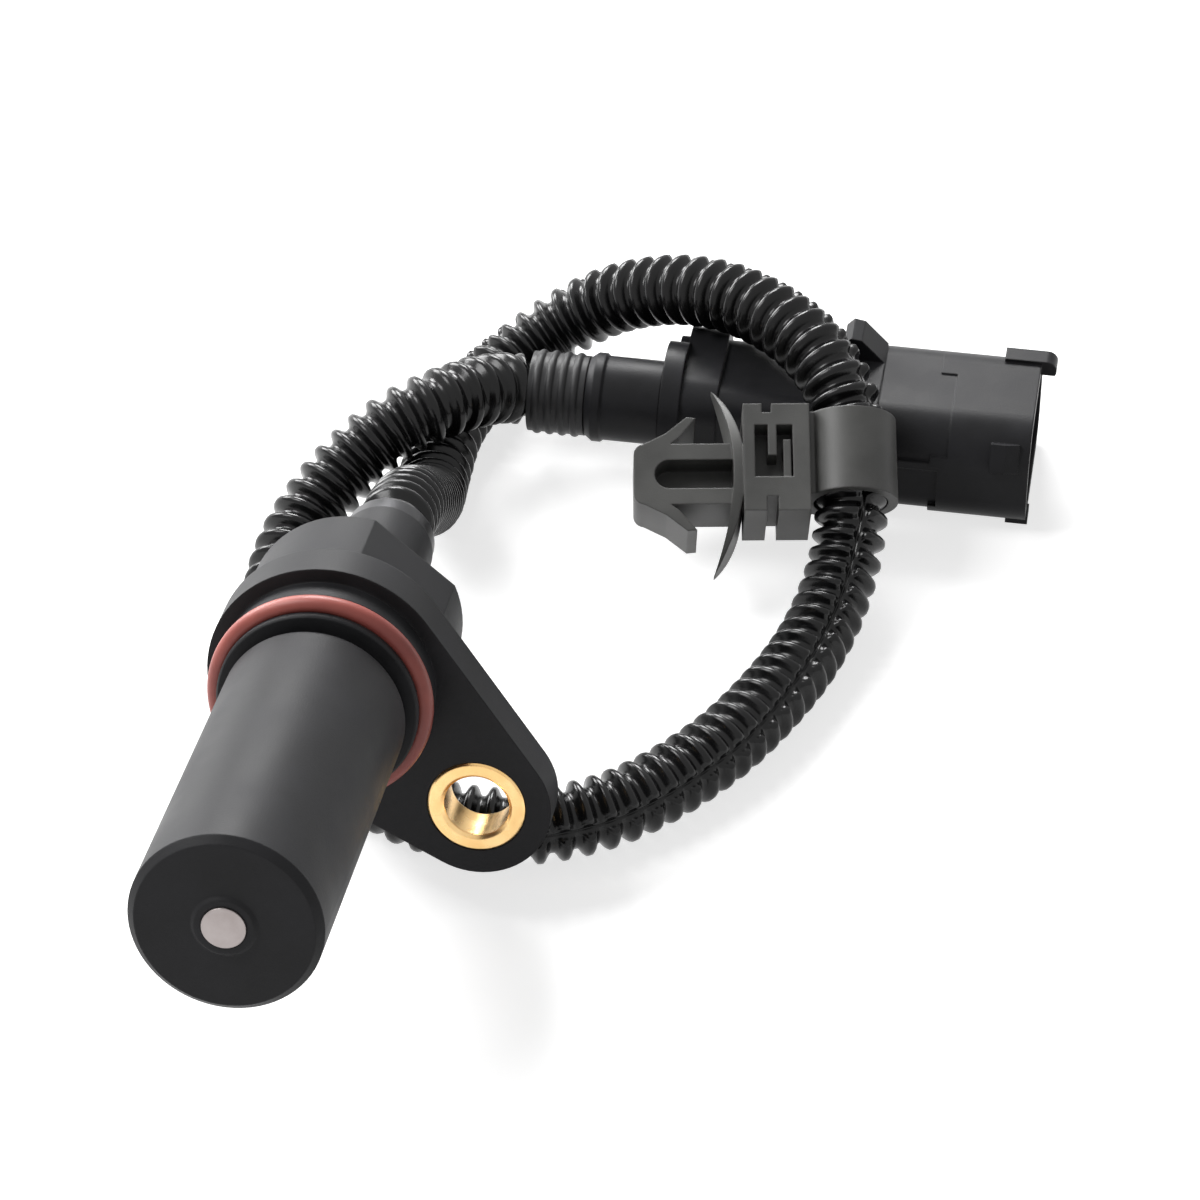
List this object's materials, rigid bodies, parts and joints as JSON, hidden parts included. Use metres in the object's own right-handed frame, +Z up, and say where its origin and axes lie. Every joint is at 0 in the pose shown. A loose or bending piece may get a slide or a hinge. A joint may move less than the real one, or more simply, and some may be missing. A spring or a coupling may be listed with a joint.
{
  "type": "crankshaft position sensor",
  "caption": "Inductive crankshaft position sensor: barrel head with bolt ear and sealing ring, corrugated cable in a loop, plug and panel clip; it reads a toothed wheel at the barrel's tip.",
  "frame": {"origin": "centre of the flange's mounting face, on the barrel's axis", "axes": "+X along the plug out of its mouth, +Y back from the barrel's tip, +Z up; the barrel points to -Y and 14 degrees up, as the head lies on its own cable"},
  "size_m": [0.0819, 0.1325, 0.0448],
  "materials": {
    "head_plastic": "matte",
    "steel": "ground",
    "bobbin_plastic": "matte",
    "copper": "enamelled",
    "magnet": "satin",
    "contact_metal": "tinned",
    "seal_rubber": "satin",
    "brass": "turned",
    "ferrule": "satin",
    "conduit_plastic": "gloss",
    "wire_light": "satin",
    "wire_dark": "satin",
    "wire_brown": "satin",
    "boot_rubber": "satin",
    "plug_plastic": "satin",
    "clip_plastic": "satin"
  },
  "bodies": {
    "root": {"sensor_housing": "head_plastic", "pole_piece": "steel", "coil_bobbin": "bobbin_plastic", "coil_winding": "copper", "magnet": "magnet", "yoke_plate": "steel", "signal_terminal": "contact_metal", "return_terminal": "contact_metal", "signal_splice": "contact_metal", "return_splice": "contact_metal", "o_ring": "seal_rubber", "mounting_bush": "brass", "neck_ferrule": "ferrule", "conduit": "conduit_plastic", "signal_wire": "wire_light", "return_wire": "wire_dark", "shield_wire": "wire_brown", "cable_boot": "boot_rubber", "rear_retainer": "plug_plastic", "wire_seal": "seal_rubber", "plug_housing": "plug_plastic", "signal_pin": "contact_metal", "return_pin": "contact_metal", "shield_pin": "contact_metal", "conduit_clip": "clip_plastic"}
  },
  "joints": []
}
